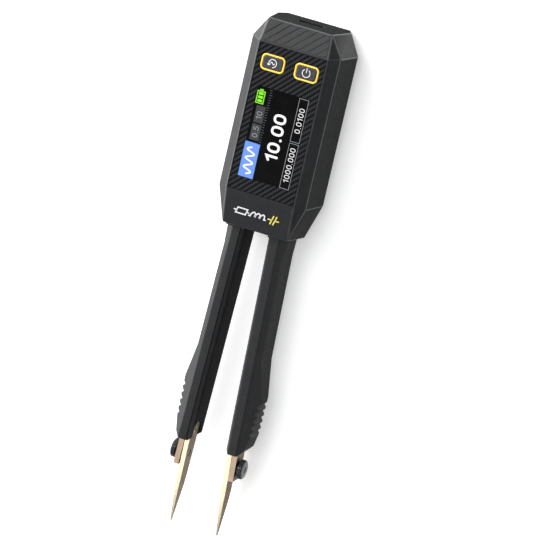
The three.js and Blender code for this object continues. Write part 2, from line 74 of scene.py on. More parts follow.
NEAR = 0.05 * MM                             # places closer than this are level with each other


# ---- materials ----------------------------------------------------------------------------------

class Paint:
    """One material, with short calls that add and join its nodes."""

    def __init__(self, name, **uniform):
        self.material = bpy.data.materials.new(name)
        self.material.use_nodes = True
        self.tree = self.material.node_tree
        self.shader = self.tree.nodes["Principled BSDF"]
        for key, value in uniform.items():
            self.shader.inputs[key.replace("_", " ")].default_value = value
        self.place = self.node("TexCoord").outputs["Object"]

    def node(self, kind, inputs=None, **settings):
        made = self.tree.nodes.new("ShaderNode" + kind)
        for key, value in settings.items():
            setattr(made, key, value)
        for key, value in (inputs or {}).items():
            self.feed(made.inputs[key], value)
        return made

    def feed(self, socket, value):
        if isinstance(value, bpy.types.NodeSocket):
            self.tree.links.new(value, socket)
        else:
            socket.default_value = value

    def noise(self, size, detail=2.0, stretch=(1, 1, 1)):
        """Noise with features about size across, drawn out along each axis by stretch."""
        scale = [1 / (size * s) for s in stretch]
        mapping = self.node("Mapping", {"Vector": self.place, "Scale": scale})
        inputs = {"Vector": mapping.outputs[0], "Scale": 1.0, "Detail": detail}
        return self.node("TexNoise", inputs).outputs[0]

    def math(self, operation, a, b=0.0):
        return self.node("Math", {0: a, 1: b}, operation=operation).outputs[0]

    def spread(self, value, low, high, start=0.3, end=0.7):
        """A value from start to end drawn out to run from low to high, and held there beyond."""
        inputs = {"Value": value, "From Min": start, "From Max": end, "To Min": low, "To Max": high}
        return self.node("MapRange", inputs).outputs[0]

    def mix(self, factor, a, b):
        """A colour between two, each a tuple or a socket."""
        colours = [(*c, 1.0) if isinstance(c, tuple) else c for c in (a, b)]
        return self.node("Mix", {0: factor, 6: colours[0], 7: colours[1]}, data_type="RGBA").outputs[2]

    def pixel_mesh(self, gap):
        """1 in the gaps between the display's pixels, each a share gap of the pitch, and otherwise 0."""
        axes = self.node("SeparateXYZ", {0: self.place}).outputs
        within = [self.math("FRACT", self.math("DIVIDE", axes[i], PIXEL)) for i in (0, 1)]
        return self.math("MAXIMUM", *(self.math("LESS_THAN", part, gap) for part in within))

    def colour(self, value):
        self.feed(self.shader.inputs["Base Color"], value)

    def roughness(self, value):
        self.feed(self.shader.inputs["Roughness"], value)

    def bump(self, height, depth):
        normal = self.node("Bump", {"Height": height, "Distance": depth}).outputs[0]
        self.feed(self.shader.inputs["Normal"], normal)


def moulded(name, dark, light, rough, grain, depth, **uniform):
    """Moulded plastic or rubber: a fine eroded grain over a faint mottle."""
    paint = Paint(name, **uniform)
    paint.colour(paint.mix(paint.spread(paint.noise(2.2 * MM, 4), 0, 1), dark, light))
    paint.roughness(paint.spread(paint.noise(0.7 * MM, 3), rough - 0.05, rough + 0.06))
    paint.bump(paint.noise(grain, 2), depth)
    return paint.material


def charcoal(part, dark, light, rough, specular, depth=GRAIN_DEPTH):
    """The case's charcoal plastic in one of its copies: beside the plain one, paler copies paint light and
    darker ones paint shade on the faces they are put on.
    """
    return moulded("charcoal_" + part, dark, light, rough, GRAIN, depth, Specular_IOR_Level=specular)


def brushed(name, dark, light, rough, stretch, depth=0.004 * MM, **uniform):
    """Bare or plated metal with fine lines drawn along one axis."""
    paint = Paint(name, Metallic=1.0, **uniform)
    lines = paint.noise(0.09 * MM, 3, stretch)
    patches = paint.noise(2.5 * MM, 3)
    paint.colour(paint.mix(paint.spread(patches, 0, 1), dark, light))
    paint.roughness(paint.spread(lines, rough - 0.06, rough + 0.08))
    paint.bump(lines, depth)
    return paint.material


def speckled(name):
    """The key caps: dark grey with fine paler flecks."""
    paint = Paint(name, Specular_IOR_Level=0.35)
    flecks = paint.spread(paint.noise(0.16 * MM, 1), 0, 1, 0.6, 0.7)
    paint.colour(paint.mix(flecks, (0.026, 0.028, 0.034), (0.11, 0.115, 0.13)))
    paint.roughness(paint.spread(paint.noise(0.5 * MM, 2), 0.38, 0.5))
    paint.bump(paint.noise(0.12 * MM, 2), 0.006 * MM)
    return paint.material


def weave(name):
    """The panel: a two-by-two twill of carbon tows under a clear gloss coat, with a painted sheen that makes
    one run of tows far darker than the other, and painted shade at the tows' edges.
    """
    tow, repeat = 0.46 * MM, 4.0
    length = 14   # how far a fibre's noise is drawn out along it
    paint = Paint(name, Coat_Weight=0.04, Coat_Roughness=0.08, Specular_IOR_Level=0.05)
    axes = paint.node("SeparateXYZ", {0: paint.place}).outputs
    across, along = (paint.math("DIVIDE", axes[i], tow) for i in (0, 1))
    step = paint.math("SUBTRACT", paint.math("FLOOR", across), paint.math("FLOOR", along))
    over = paint.math("LESS_THAN", paint.math("FLOORED_MODULO", step, repeat), repeat / 2)

    def crown(value):
        """How far a tow bulges, from 0 at its edges to 1 along its middle."""
        offset = paint.math("SUBTRACT", paint.math("FRACT", value), 0.5)
        fall = paint.math("MULTIPLY", paint.math("MULTIPLY", offset, offset), 4.0)
        return paint.math("SUBTRACT", 1.0, fall)

    def choose(when_over, otherwise):
        """One value where the tows across lie on top, and another where they lie under."""
        return paint.node("Mix", {0: over, 2: otherwise, 3: when_over}).outputs[0]

    bulge = choose(crown(across), crown(along))
    fibres = choose(paint.noise(0.05 * MM, 2, (1, length, 1)), paint.noise(0.05 * MM, 2, (length, 1, 1)))
    # Each tow is darker towards its edges: painted shade in the creases between the tows; the fibres' noise
    # is their own streaks.
    shade = paint.math("MULTIPLY", paint.spread(bulge, 0.45, 1.0, 0, 1), paint.spread(fibres, 0.7, 1.15))
    # The tows that lie under are a tenth as bright as those on top: a painted sheen, for the two runs of
    # fibre catch the light differently.
    tone = choose(shade, paint.math("MULTIPLY", shade, 0.10))
    paint.colour(paint.mix(tone, (0.0004, 0.0004, 0.0007), (0.038, 0.039, 0.043)))
    paint.roughness(choose(0.24, 0.34))
    paint.bump(bulge, 0.02 * MM)
    return paint.material


def dark_glass(name):
    """The display's cover: near black, with a faint pixel mesh and fine smears in its gloss."""
    paint = Paint(name, Specular_IOR_Level=0.10, Coat_Weight=0.03, Coat_Roughness=0.05)
    paint.colour(paint.mix(paint.pixel_mesh(0.2), (0.0028, 0.0028, 0.0032), (0.0014, 0.0014, 0.0016)))
    paint.roughness(paint.spread(paint.noise(3 * MM, 3), 0.12, 0.22))
    return paint.material


def lit(name, colour, strength=1.0, dim=0.8):
    """A lit part of the display, dimmed by the factor dim between its pixels."""
    paint = Paint(name, Emission_Strength=strength, Specular_IOR_Level=0.3)
    shown = paint.mix(paint.pixel_mesh(0.16), colour, tuple(c * dim for c in colour))
    paint.feed(paint.shader.inputs["Emission Color"], shown)
    paint.colour(paint.mix(0.85, shown, (0.0, 0.0, 0.0)))
    paint.roughness(paint.spread(paint.noise(3 * MM, 3), 0.15, 0.25))
    return paint.material


def painted_glow_yellow(name):
    """The yellow outlines of the keys: a translucent yellow plastic, given a faint emission as a painted
    glow, for they are no lamp.
    """
    paint = Paint(name, Emission_Strength=0.25, Coat_Weight=0.4, Coat_Roughness=0.1)
    depth = paint.spread(paint.noise(0.5 * MM, 3), 0, 1)
    tint = paint.mix(depth, (0.86, 0.50, 0.045), (0.98, 0.66, 0.085))
    paint.colour(tint)
    # The tint is also given off as a faint glow: painted light, for the outlines are no lamp.
    paint.feed(paint.shader.inputs["Emission Color"], tint)
    paint.roughness(paint.spread(paint.noise(0.3 * MM, 2), 0.28, 0.4))
    paint.bump(paint.noise(0.2 * MM, 2), 0.004 * MM)
    return paint.material


def ink(name, colour):
    """Printed ink, a little uneven in its cover."""
    paint = Paint(name, Specular_IOR_Level=0.3)
    cover = paint.spread(paint.noise(0.12 * MM, 2), 0, 1, 0.2, 0.55)
    paint.colour(paint.mix(cover, tuple(c * 0.78 for c in colour), colour))
    paint.roughness(paint.spread(paint.noise(0.3 * MM, 2), 0.42, 0.56))
    paint.bump(paint.noise(0.08 * MM, 1), 0.003 * MM)
    return paint.material


def circuit_board(name):
    """Green solder mask with copper tracks showing through."""
    cells_per_metre, tracks_per_cell = 420, 6.0
    paint = Paint(name, Coat_Weight=0.4)
    mapping = paint.node("Mapping", {"Vector": paint.place, "Scale": [cells_per_metre] * 3})
    inputs = {"Vector": mapping.outputs[0], "Scale": 1.0}
    cells = paint.node("TexVoronoi", inputs, distance="MANHATTAN").outputs[0]
    waves = paint.math("FRACT", paint.math("MULTIPLY", cells, tracks_per_cell))
    tracks = paint.math("LESS_THAN", waves, 0.35)
    paint.colour(paint.mix(tracks, (0.006, 0.045, 0.022), (0.016, 0.105, 0.045)))
    paint.roughness(paint.spread(paint.noise(1 * MM, 2), 0.3, 0.42))
    paint.bump(tracks, 0.02 * MM)
    return paint.material


def foil(name):
    """The battery's pouch: crinkled aluminium laminate."""
    paint = Paint(name, Metallic=0.9)
    folds = paint.noise(3.0 * MM, 5)
    paint.colour(paint.mix(paint.spread(folds, 0, 1), (0.42, 0.43, 0.45), (0.66, 0.67, 0.69)))
    paint.roughness(paint.spread(folds, 0.28, 0.45))
    paint.bump(folds, 0.15 * MM)
    return paint.material


BODY = charcoal("plastic", (0.0135, 0.0140, 0.0150), (0.0185, 0.0190, 0.0200), 0.46, 0.28)
# Darker and duller, for faces that look along X: painted shade.
SIDE_SHADE = charcoal("side", (0.0115, 0.0120, 0.0128), (0.0160, 0.0165, 0.0172), 0.66, 0.10)
# Paler, for the rounding of the head's edges: a painted highlight.
EDGE_HIGHLIGHT = charcoal("edge", (0.036, 0.037, 0.039), (0.052, 0.053, 0.056), 0.38, 0.45, 0.010 * MM)
# Paler, for the arm covers: painted light.
COVER_LIGHTENED = charcoal("cover", (0.026, 0.027, 0.029), (0.034, 0.035, 0.037), 0.5, 0.28)
# Darker, for the arm covers' faces that look along X: painted shade.
INNER_SHADE = charcoal("inner", (0.0045, 0.0048, 0.0052), (0.0070, 0.0073, 0.0077), 0.7, 0.05)
# Darker and duller, for faces that look along Y, at the head's end and the arms' ends: painted shade.
END_SHADE = charcoal("end", (0.0055, 0.0058, 0.0062), (0.0080, 0.0083, 0.0088), 0.8, 0.05)
INSIDE = moulded("black_plastic", (0.012, 0.012, 0.013), (0.020, 0.020, 0.021), 0.55, 0.2 * MM, 0.01 * MM)
FOAM = moulded("foam", (0.015, 0.015, 0.015), (0.035, 0.035, 0.035), 0.9, 0.35 * MM, 0.12 * MM)
SILICONE = moulded("red_silicone", (0.28, 0.012, 0.010), (0.36, 0.018, 0.014), 0.5, 0.3 * MM, 0.01 * MM)
WEAVE = weave("carbon_weave")
GLASS = dark_glass("display_glass")
KEY = speckled("key_plastic")
# Yellow plastic with a painted glow.
YELLOW = painted_glow_yellow("yellow_painted_glow")
WHITE_INK = ink("white_ink", (0.82, 0.83, 0.84))
YELLOW_INK = ink("yellow_ink", (0.80, 0.72, 0.16))
LIT_WHITE = lit("lit_white", (1.0, 1.0, 1.0), 0.95)
LIT_GREY = lit("lit_grey", (0.052, 0.054, 0.058))
LIT_PALE = lit("lit_pale_grey", (0.30, 0.31, 0.32))
LIT_DIM = lit("lit_dim_grey", (0.10, 0.104, 0.11))
LIT_BLUE = lit("lit_blue", (0.155, 0.315, 0.86), dim=0.92)
LIT_GREEN = lit("lit_green", (0.26, 0.88, 0.035))
GOLD = brushed("gold_plate", (0.93, 0.80, 0.52), (0.98, 0.88, 0.64), 0.24, (1, 30, 1))
BRASS = brushed("clamp_brass", (0.52, 0.37, 0.27), (0.62, 0.46, 0.34), 0.34, (1, 24, 1))
# Blackened steel of the screws and washers, and also painted shade on the clamp strips' ends.
BLACK_METAL_AND_END_SHADE = brushed("blackened_steel_and_end_shade", (0.018, 0.0185, 0.020), (0.038, 0.039, 0.042), 0.32, (1, 6, 6),
                      0.006 * MM)
# Paler metal on the knurls' crests: a painted highlight.
CREST_HIGHLIGHT = brushed("crest_highlight", (0.085, 0.086, 0.092), (0.15, 0.152, 0.16), 0.3, (1, 4, 4))
# Near black steel for the charging socket: painted shade in its slot.
SOCKET_SHADE_METAL = brushed("socket_steel_in_shade", (0.014, 0.0145, 0.015), (0.030, 0.031, 0.033), 0.42, (1, 10, 1))
# Dull brown on the broad sides of the blades and clamp strips: painted shade on their gold and brass.
METAL_SIDE_SHADE = brushed("brown_side_shade", (0.098, 0.064, 0.036), (0.145, 0.102, 0.062), 0.48, (1, 22, 1), 0.006 * MM)
GREY_METAL = brushed("grey_screw_face", (0.08, 0.082, 0.088), (0.13, 0.133, 0.14), 0.34, (1, 8, 1), 0.006 * MM)
STEEL = brushed("steel", (0.40, 0.41, 0.42), (0.56, 0.57, 0.58), 0.3, (1, 12, 1))
BOARD = circuit_board("solder_mask")
FOIL = foil("pouch_foil")


# ---- mesh tools ---------------------------------------------------------------------------------

def put(name, mesh, body, material, stands_for=(), smooth_under=32.0, others=(), choose=None):
    """Adds a finished mesh as a piece on its body, with smooth shading up to an edge angle.

    others are further materials, and choose turns a face's normal into a number: 0 for the first material,
    and 1 and up for the others.
    """
    if isinstance(mesh, bmesh.types.BMesh):
        made = bpy.data.meshes.new(name)
        mesh.to_mesh(made)
        mesh.free()
        mesh = made
    mesh.name = name
    piece = bpy.data.objects.new(name, mesh)
    bpy.context.scene.collection.objects.link(piece)
    mesh.materials.clear()
    for finish in (material, *others):
        mesh.materials.append(finish)
    for face in mesh.polygons:
        face.use_smooth = True
        face.material_index = choose(face.normal) if choose else 0
    mesh.set_sharp_from_angle(angle=math.radians(smooth_under))
    weighted = piece.modifiers.new("flat faces", "WEIGHTED_NORMAL")
    weighted.keep_sharp = True
    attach(piece, body)
    if stands_for:
        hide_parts(*stands_for)


SQUARE_ON = 0.9   # the least share of a normal along an axis for a face that looks along it


def squarely(normal):
    """1 for a face that looks along X, 2 for one that looks along Y, and otherwise 0."""
    return 1 if abs(normal.x) > SQUARE_ON else 2 if abs(normal.y) > SQUARE_ON else 0


def broadly(normal):
    """1 for a face that looks along X, and otherwise 0."""
    return int(abs(normal.x) > SQUARE_ON)


def loft(loops, ring=False):
    """A skin through loops of equal length, capped at its ends, or joined end to end if ring."""
    bm = bmesh.new()
    rows = [[bm.verts.new(p) for p in loop] for loop in loops]
    pairs = list(zip(rows, rows[1:]))
    if ring:
        pairs.append((rows[-1], rows[0]))
    else:
        bm.faces.new(rows[0])
        bm.faces.new(rows[-1])
    count = len(rows[0])
    for a, b in pairs:
        for i in range(count):
            j = (i + 1) % count
            bm.faces.new((a[i], a[j], b[j], b[i]))
    bmesh.ops.recalc_face_normals(bm, faces=bm.faces)
    return bm


def joined(parts):
    """One bmesh holding several."""
    whole = bmesh.new()
    for part in parts:
        mesh = bpy.data.meshes.new("part")
        part.to_mesh(mesh)
        part.free()
        whole.from_mesh(mesh)
        bpy.data.meshes.remove(mesh)
    return whole


def rounded(x, y, half_x, half_y, radius, z, corner=6):
    """A loop of points round a rounded rectangle at one height."""
    points = []
    for quarter in range(4):
        sign_x = 1 if quarter in (0, 3) else -1
        sign_y = 1 if quarter < 2 else -1
        for i in range(corner + 1):
            angle = math.pi / 2 * (quarter + i / corner)
            points.append(Vector((x + sign_x * (half_x - radius) + radius * math.cos(angle),
                                  y + sign_y * (half_y - radius) + radius * math.sin(angle), z)))
    return points


def pad(x, y, half_x, half_y, radius, levels):
    """A rounded rectangle built up through (inset, height) levels."""
    return loft([rounded(x, y, half_x - inset, half_y - inset, max(radius - inset, 0.02 * MM), z)
                 for inset, z in levels])


def plate(x0, x1, y0, y1, radius, z0, z1):
    """A rounded rectangle between two heights, with its top edge eased."""
    edge = min(0.3 * (z1 - z0), 0.05 * MM)
    return pad((x0 + x1) / 2, (y0 + y1) / 2, (x1 - x0) / 2, (y1 - y0) / 2, radius,
               [(0, z0), (0, z1 - edge), (edge, z1)])


def stroke(points, width, z0, z1, closed=False):
    """A drawn line as a thin solid, mitred at its bends and rounded at its ends."""
    points = [Vector((p[0], p[1])) for p in points]
    count = len(points)
    stations = []
    for i, point in enumerate(points):
        before = points[i - 1] if i or closed else None
        after = points[(i + 1) % count] if i < count - 1 or closed else None
        into = (point - before).normalized() if before is not None else (after - point).normalized()
        out = (after - point).normalized() if after is not None else into
        side_in, side_out = (Vector((-d.y, d.x)) for d in (into, out))
        mitre = (side_in + side_out).normalized()
        stations.append((point, mitre / max(0.5, mitre.dot(side_in)), width / 2))

    def cap(end, inner, angle):
        """A station on the round of an end, at an angle from the line's side."""
        beyond = (points[end] - points[inner]).normalized() * width / 2
        point, side, half = stations[end]
        return point + beyond * math.sin(angle), side, half * math.cos(angle)

    if not closed:
        angles = [math.radians(a) for a in (30, 60, 82)]
        first = [cap(0, 1, angle) for angle in reversed(angles)]
        last = [cap(-1, -2, angle) for angle in angles]
        stations = first + stations + last
    loops = []
    for point, side, half in stations:
        left, right = point + side * half, point - side * half
        loops.append([Vector((*left, z0)), Vector((*left, z1)), Vector((*right, z1)), Vector((*right, z0))])
    return loft(loops, ring=closed)


def arc(x, y, radius, start, end, steps):
    """Points along an arc, with angles in degrees."""
    angles = [math.radians(start + (end - start) * i / steps) for i in range(steps + 1)]
    return [(x + radius * math.cos(a), y + radius * math.sin(a)) for a in angles]


def round_axes(axis):
    """The unit vectors along a level axis, across it and up from it."""
    along = Vector(axis).normalized()
    return along, along.cross(UP).normalized(), UP


def turned(profile, axis_point, axis, sides, teeth=0):
    """A solid turned about a level axis, from (distance along, radius, depth of teeth) stations."""
    along, across, up = round_axes(axis)
    loops = []
    for distance, radius, bite in profile:
        loop = []
        for i in range(sides):
            angle = 2 * math.pi * i / sides
            reach = radius - bite * (0.5 - 0.5 * math.cos(angle * teeth))
            loop.append(Vector(axis_point) + along * distance
                        + (across * math.cos(angle) + up * math.sin(angle)) * reach)
        loops.append(loop)
    return loft(loops)


def cad_mesh(node):
    """A clean copy of a CAD node's mesh, with its flat faces whole."""
    bm = bmesh.new()
    bm.from_mesh(NODES[node].data)
    bmesh.ops.remove_doubles(bm, verts=bm.verts, dist=WELD)
    bmesh.ops.dissolve_limit(bm, angle_limit=math.radians(0.8), verts=bm.verts, edges=bm.edges)
    return bm


def after_modifier(bm, kind, **settings):
    """The mesh that one modifier makes of a bmesh."""
    mesh = bpy.data.meshes.new("source")
    bm.to_mesh(mesh)
    bm.free()
    holder = bpy.data.objects.new("source", mesh)
    bpy.context.scene.collection.objects.link(holder)
    modifier = holder.modifiers.new("step", kind)
    for key, value in settings.items():
        setattr(modifier, key, value)
    shaped = holder.evaluated_get(bpy.context.evaluated_depsgraph_get())
    made = bpy.data.meshes.new_from_object(shaped)
    bpy.data.objects.remove(holder)
    bpy.data.meshes.remove(mesh)
    return made


def softened(node, width):
    """A CAD node's form with its edges rounded."""
    return after_modifier(cad_mesh(node), "BEVEL", width=width, segments=2, limit_method="ANGLE",
                          angle_limit=math.radians(24), use_clamp_overlap=False, miter_outer="MITER_ARC")


def points_of(*nodes):
    """The places of all the points of some CAD nodes."""
    return [v.co.copy() for n in nodes for v in NODES[n].data.vertices]


# ---- the head -----------------------------------------------------------------------------------

HEAD_LOW, HEAD_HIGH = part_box("rear_shell")
TOP_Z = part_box("front_shell")[1].z
PANEL_LOW, PANEL_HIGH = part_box("front_panel")
FACE_Z = PANEL_HIGH.z


def wrapped(points):
    """The convex hull of some points, with whole flats."""
    bm = bmesh.new()
    for point in points:
        bm.verts.new(point)
    bmesh.ops.remove_doubles(bm, verts=bm.verts, dist=0.01 * MM)
    hull = bmesh.ops.convex_hull(bm, input=bm.verts)
    loose = {e for e in hull["geom_interior"] + hull["geom_unused"] if isinstance(e, bmesh.types.BMVert)}
    bmesh.ops.delete(bm, geom=list(loose), context="VERTS")
    bmesh.ops.dissolve_limit(bm, angle_limit=math.radians(1.5), verts=bm.verts, edges=bm.edges)
    return bm


def rounded_envelope():
    """The head's convex outer form with rounded edges, a hair larger than its shells, and its flats' normals.

    Corners too close together to be rounded apart are joined first.
    """
    rounding, closest, growth = 0.34 * MM, 0.5 * MM, 1.0004
    rough = wrapped(points_of("front_shell", "rear_shell"))
    bmesh.ops.remove_doubles(rough, verts=rough.verts, dist=closest)
    corners = [v.co.copy() for v in rough.verts]
    rough.free()
    bm = wrapped(corners)
    bm.normal_update()
    flats = [face.normal.copy() for face in bm.faces]
    flats += [-flat for flat in flats]
    bmesh.ops.bevel(bm, geom=bm.edges, offset=rounding, segments=3, profile=0.5, affect="EDGES",
                    clamp_overlap=True)
    middle = (HEAD_LOW + HEAD_HIGH) / 2
    grow = Matrix.Translation(middle) @ Matrix.Scale(growth, 4) @ Matrix.Translation(-middle)
    bmesh.ops.transform(bm, matrix=grow, verts=bm.verts)
    mesh = bpy.data.meshes.new("envelope")
    bm.to_mesh(mesh)
    bm.free()
    envelope = bpy.data.objects.new("envelope", mesh)
    bpy.context.scene.collection.objects.link(envelope)
    return envelope, flats


def make_shells():
    """The head's two shells, with a painted highlight on the rounding of their outer edges, a paler tone than
    their flats, and painted shade, darker copies of the plastic, on the flats that look along X and along Y.
    """
    envelope, flats = rounded_envelope()
    along_flat = math.cos(math.radians(6))
    level = 0.97   # the share of a normal along Z for a face of the shells' seam or floor

    def finish(normal):
        """3 on the rounding, for the paler copy that paints a highlight there, and otherwise by the way the
        flat looks: a darker copy as painted shade along X (1) and along Y (2), and the plain plastic (0).
        """
        on_rounding = all(normal.dot(flat) < along_flat for flat in flats)
        return 3 if on_rounding and abs(normal.z) < level else squarely(normal)

    for node in ("front_shell", "rear_shell"):
        bm = bmesh.new()
        bm.from_mesh(NODES[node].data)
        bmesh.ops.remove_doubles(bm, verts=bm.verts, dist=WELD)
        shell = after_modifier(bm, "BOOLEAN", operation="INTERSECT", solver="EXACT", object=envelope)
        # The paler rounding paints a highlight, and the darker copies on the flats along X and along Y paint
        # shade.
        put(node + "_moulding", shell, "head", BODY, [node], others=[SIDE_SHADE, END_SHADE, EDGE_HIGHLIGHT], choose=finish)
    mesh = envelope.data
    bpy.data.objects.remove(envelope)
    bpy.data.meshes.remove(mesh)


class Slope:
    """A sloping facet at one end of the head, with its own flat axes: X across and Y up the slope."""

    def __init__(self, panel_edge, outer_y):
        points = points_of("front_shell")
        tips = [p for p in points if abs(p.y - outer_y) < NEAR]
        height = max(p.z for p in tips)
        rim = [p for p in points if abs(p.z - TOP_Z) < 0.01 * MM]
        inner_y = min((p.y for p in rim), key=lambda y: abs(y - outer_y))
        half_in = max(p.x for p in rim if abs(p.y - inner_y) < NEAR)
        half_out = max(p.x for p in tips if abs(p.z - height) < NEAR)
        start, end = Vector((0, inner_y, TOP_Z)), Vector((0, outer_y, height))
        self.half_low, self.half_high = half_in, half_out
        if outer_y < panel_edge:
            start, end = end, start
            self.half_low, self.half_high = half_out, half_in
        self.length = (end - start).length
        across, up = Vector((1, 0, 0)), (end - start).normalized()
        self.matrix = Matrix((across, up, across.cross(up))).transposed().to_4x4()
        self.matrix.translation = start

    def outline(self, margin):
        """The facet's corners, drawn in by a margin, anticlockwise."""
        low, high = self.half_low - margin, self.half_high - margin
        return [(-low, margin), (low, margin), (high, self.length - margin), (-high, self.length - margin)]


def clipped(polygon, outline):
    """The part of a polygon inside a convex outline that runs anticlockwise."""
    for i, b in enumerate(outline):
        a = outline[i - 1]
        depths = [(b[0] - a[0]) * (y - a[1]) - (b[1] - a[1]) * (x - a[0]) for x, y in polygon]
        kept = []
        for j, q in enumerate(polygon):
            p, before, here = polygon[j - 1], depths[j - 1], depths[j]
            if before * here < 0:
                share = before / (before - here)
                kept.append((p[0] + (q[0] - p[0]) * share, p[1] + (q[1] - p[1]) * share))
            if here >= 0:
                kept.append(q)
        polygon = kept
    return polygon


def make_crown_flats():
    """Shallow flats on the top slope, with thin grooves between them that rise to the right."""
    slope = Slope(PANEL_HIGH.y, HEAD_HIGH.y)
    pitch, groove, margin = 2.75 * MM, 0.42 * MM, 0.42 * MM
    sunk, lift, ease = 0.05 * MM, 0.13 * MM, 0.07 * MM
    lean = slope.length
    outline = slope.outline(margin)
    flats = []
    for i in range(-6, 6):
        x0 = (i + 0.5) * pitch
        x1 = x0 + pitch - groove
        shape = clipped([(x0, 0), (x1, 0), (x1 + lean, slope.length), (x0 + lean, slope.length)], outline)
        if len(shape) < 3:
            continue
        corners = [Vector(p) for p in shape]
        middle = sum(corners, Vector((0, 0))) / len(corners)
        flats.append(loft([[Vector((*(p + (middle - p).normalized() * inset), z)) for p in corners]
                           for inset, z in ((0.0, -sunk), (0.0, lift / 2), (ease, lift))]))
    crown = joined(flats)
    bmesh.ops.transform(crown, matrix=slope.matrix, verts=crown.verts)
    put("crown_flats", crown, "head", BODY)


def make_chin_mark():
    """A generic mark on the bottom slope: the signs of a resistor, a coil and a capacitor.

    It is laid out in millimetres from the middle of the slope, and leans to the right.
    """
    slope = Slope(PANEL_LOW.y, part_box("front_shell")[0].y)
    width, z0, z1 = 0.42 * MM, -0.02 * MM, 0.03 * MM
    lean = math.tan(math.radians(18))
    middle_y = slope.length * 0.47
    resistor_x, resistor_half = (-6.6, -3.4), 0.9
    hump, turns, coil_x, coil_y = 0.75, 3, -1.9, -0.7
    plates_x, plate_half = (4.9, 5.9), 1.35
    wire = 1.2

    def drawn(points):
        """The points of a line in the slope's own axes, leaning."""
        return [((x + y * lean) * MM, middle_y + y * MM) for x, y in points]

    (left, right), half = resistor_x, resistor_half
    resistor = [(left, -half), (right, -half), (right, half), (left, half)]
    humps = [arc(coil_x + hump * (2 * i + 1), 0, hump, 180, 0, 10) for i in range(turns)]
    coil = [(coil_x - 0.5, coil_y)] + [(x, 2.0 * y + coil_y) for points in humps for x, y in points]
    coil.append((coil_x + 2 * hump * turns + 0.5, coil_y))
    white = [stroke(drawn(line), width, z0, z1) for line in ([(left - 0.8, 0), (left, 0)], coil,
                                                             [(right, 0), (right + 0.7, 0)])]
    white.append(stroke(drawn(resistor), width, z0, z1, closed=True))
    lower, upper = plates_x
    capacitor = ([(lower - wire, 0), (lower, 0)], [(lower, -plate_half), (lower, plate_half)],
                 [(upper, -plate_half), (upper, plate_half)], [(upper, 0), (upper + wire, 0)])
    yellow = [stroke(drawn(line), width, z0, z1) for line in capacitor]
    for name, parts, material in (("mark_white", white, WHITE_INK), ("mark_yellow", yellow, YELLOW_INK)):
        mark = joined(parts)
        bmesh.ops.transform(mark, matrix=slope.matrix, verts=mark.verts)
        put(name, mark, "head", material)


def make_panel():
    """The woven front panel, with its edges eased."""
    put("weave_panel", softened("front_panel", 0.06 * MM), "head", WEAVE, ["front_panel"])


def make_keys():
    """Each key: a yellow outline with a painted glow fixed in the panel, and a dished cap inside it with its
    icon.
    """
    corner, thick, round_drop, play = 1.4 * MM, 0.5 * MM, 0.1 * MM, 0.1 * MM
    for name in KEYS:
        low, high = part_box(name + "_ring")
        x, y = (low.x + high.x) / 2, (low.y + high.y) / 2
        half_x, half_y = (high.x - low.x) / 2, (high.y - low.y) / 2
        outer = [(0, low.z), (0, high.z - round_drop), (0.06 * MM, high.z - 0.03 * MM), (0.17 * MM, high.z)]
        profile = outer + [(thick - inset, z) for inset, z in reversed(outer)]
        ring = loft([rounded(x, y, half_x - inset, half_y - inset, corner - inset, z, 8)
                     for inset, z in profile], ring=True)
        put(name + "_outline", ring, "head", YELLOW, [name + "_ring"])

        cap_low, cap_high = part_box(name + "_key")
        drops = ((0, 0.24), (0.05, 0.12), (0.16, 0.04), (0.34, 0.02), (0.9, 0.05), (1.5, 0.07))
        levels = [(0, cap_low.z)] + [(inset * MM, cap_high.z - drop * MM) for inset, drop in drops]
        gap = thick + play
        cap = pad(x, y, half_x - gap, half_y - gap, corner - gap, levels)
        put(name + "_cap", cap, name + "_button", KEY, [name + "_key"])
        make_icon(name, x, y, cap_high.z - 0.09 * MM, cap_high.z - 0.005 * MM)


def make_icon(name, x, y, z0, z1):
    """A round arrow about a wave on the mode key, and the usual power sign on the other."""
    width, radius = 0.23 * MM, 1.22 * MM
    if name == "mode":
        half, swing, steps = 0.62 * MM, 0.34 * MM, 12
        turn = arc(x, y, radius, 205, -80, 30)
        tip_x, tip_y = turn[0]
        head = [(tip_x - 0.42 * MM, tip_y + 0.1 * MM), (tip_x - 0.02 * MM, tip_y - 0.22 * MM),
                (tip_x + 0.36 * MM, tip_y + 0.16 * MM)]
        wave = [(x + (2 * i / steps - 1) * half, y + swing * math.sin(2 * math.pi * i / steps))
                for i in range(steps + 1)]
        lines = [turn, head, wave]
    else:
        lines = [arc(x, y, radius, 128, 412, 30), [(x, y + 0.2 * MM), (x, y + 1.5 * MM)]]
    icon = joined([stroke(line, width, z0, z1) for line in lines])
    put(name + "_icon", icon, name + "_button", WHITE_INK)


# ---- the display --------------------------------------------------------------------------------

def digit_lines(digit):
    """A digit's lines in a box one unit high, as (points, closed), and the step to the next digit."""
    if digit == "0":
        sides, squareness = 28, 0.8
        loop = []
        for i in range(sides):
            angle = 2 * math.pi * i / sides
            x, y = (math.copysign(abs(v) ** squareness, v) for v in (math.cos(angle), math.sin(angle)))
            loop.append((0.30 + 0.25 * x, 0.5 + 0.5 * y))
        return [(loop, True)], 0.78
    if digit == "1":
        return [([(0.06, 0.78), (0.32, 1.0), (0.32, 0.0)], False)], 0.60
    if digit == "5":
        bowl = arc(0.26, 0.32, 0.30, 100, -140, 16)
        return [([(0.54, 1.0), (0.12, 1.0), (0.07, 0.56)] + bowl, False)], 0.76
    return [([(0.08, 0.0), (0.10, 0.0)], False)], 0.34   # the point


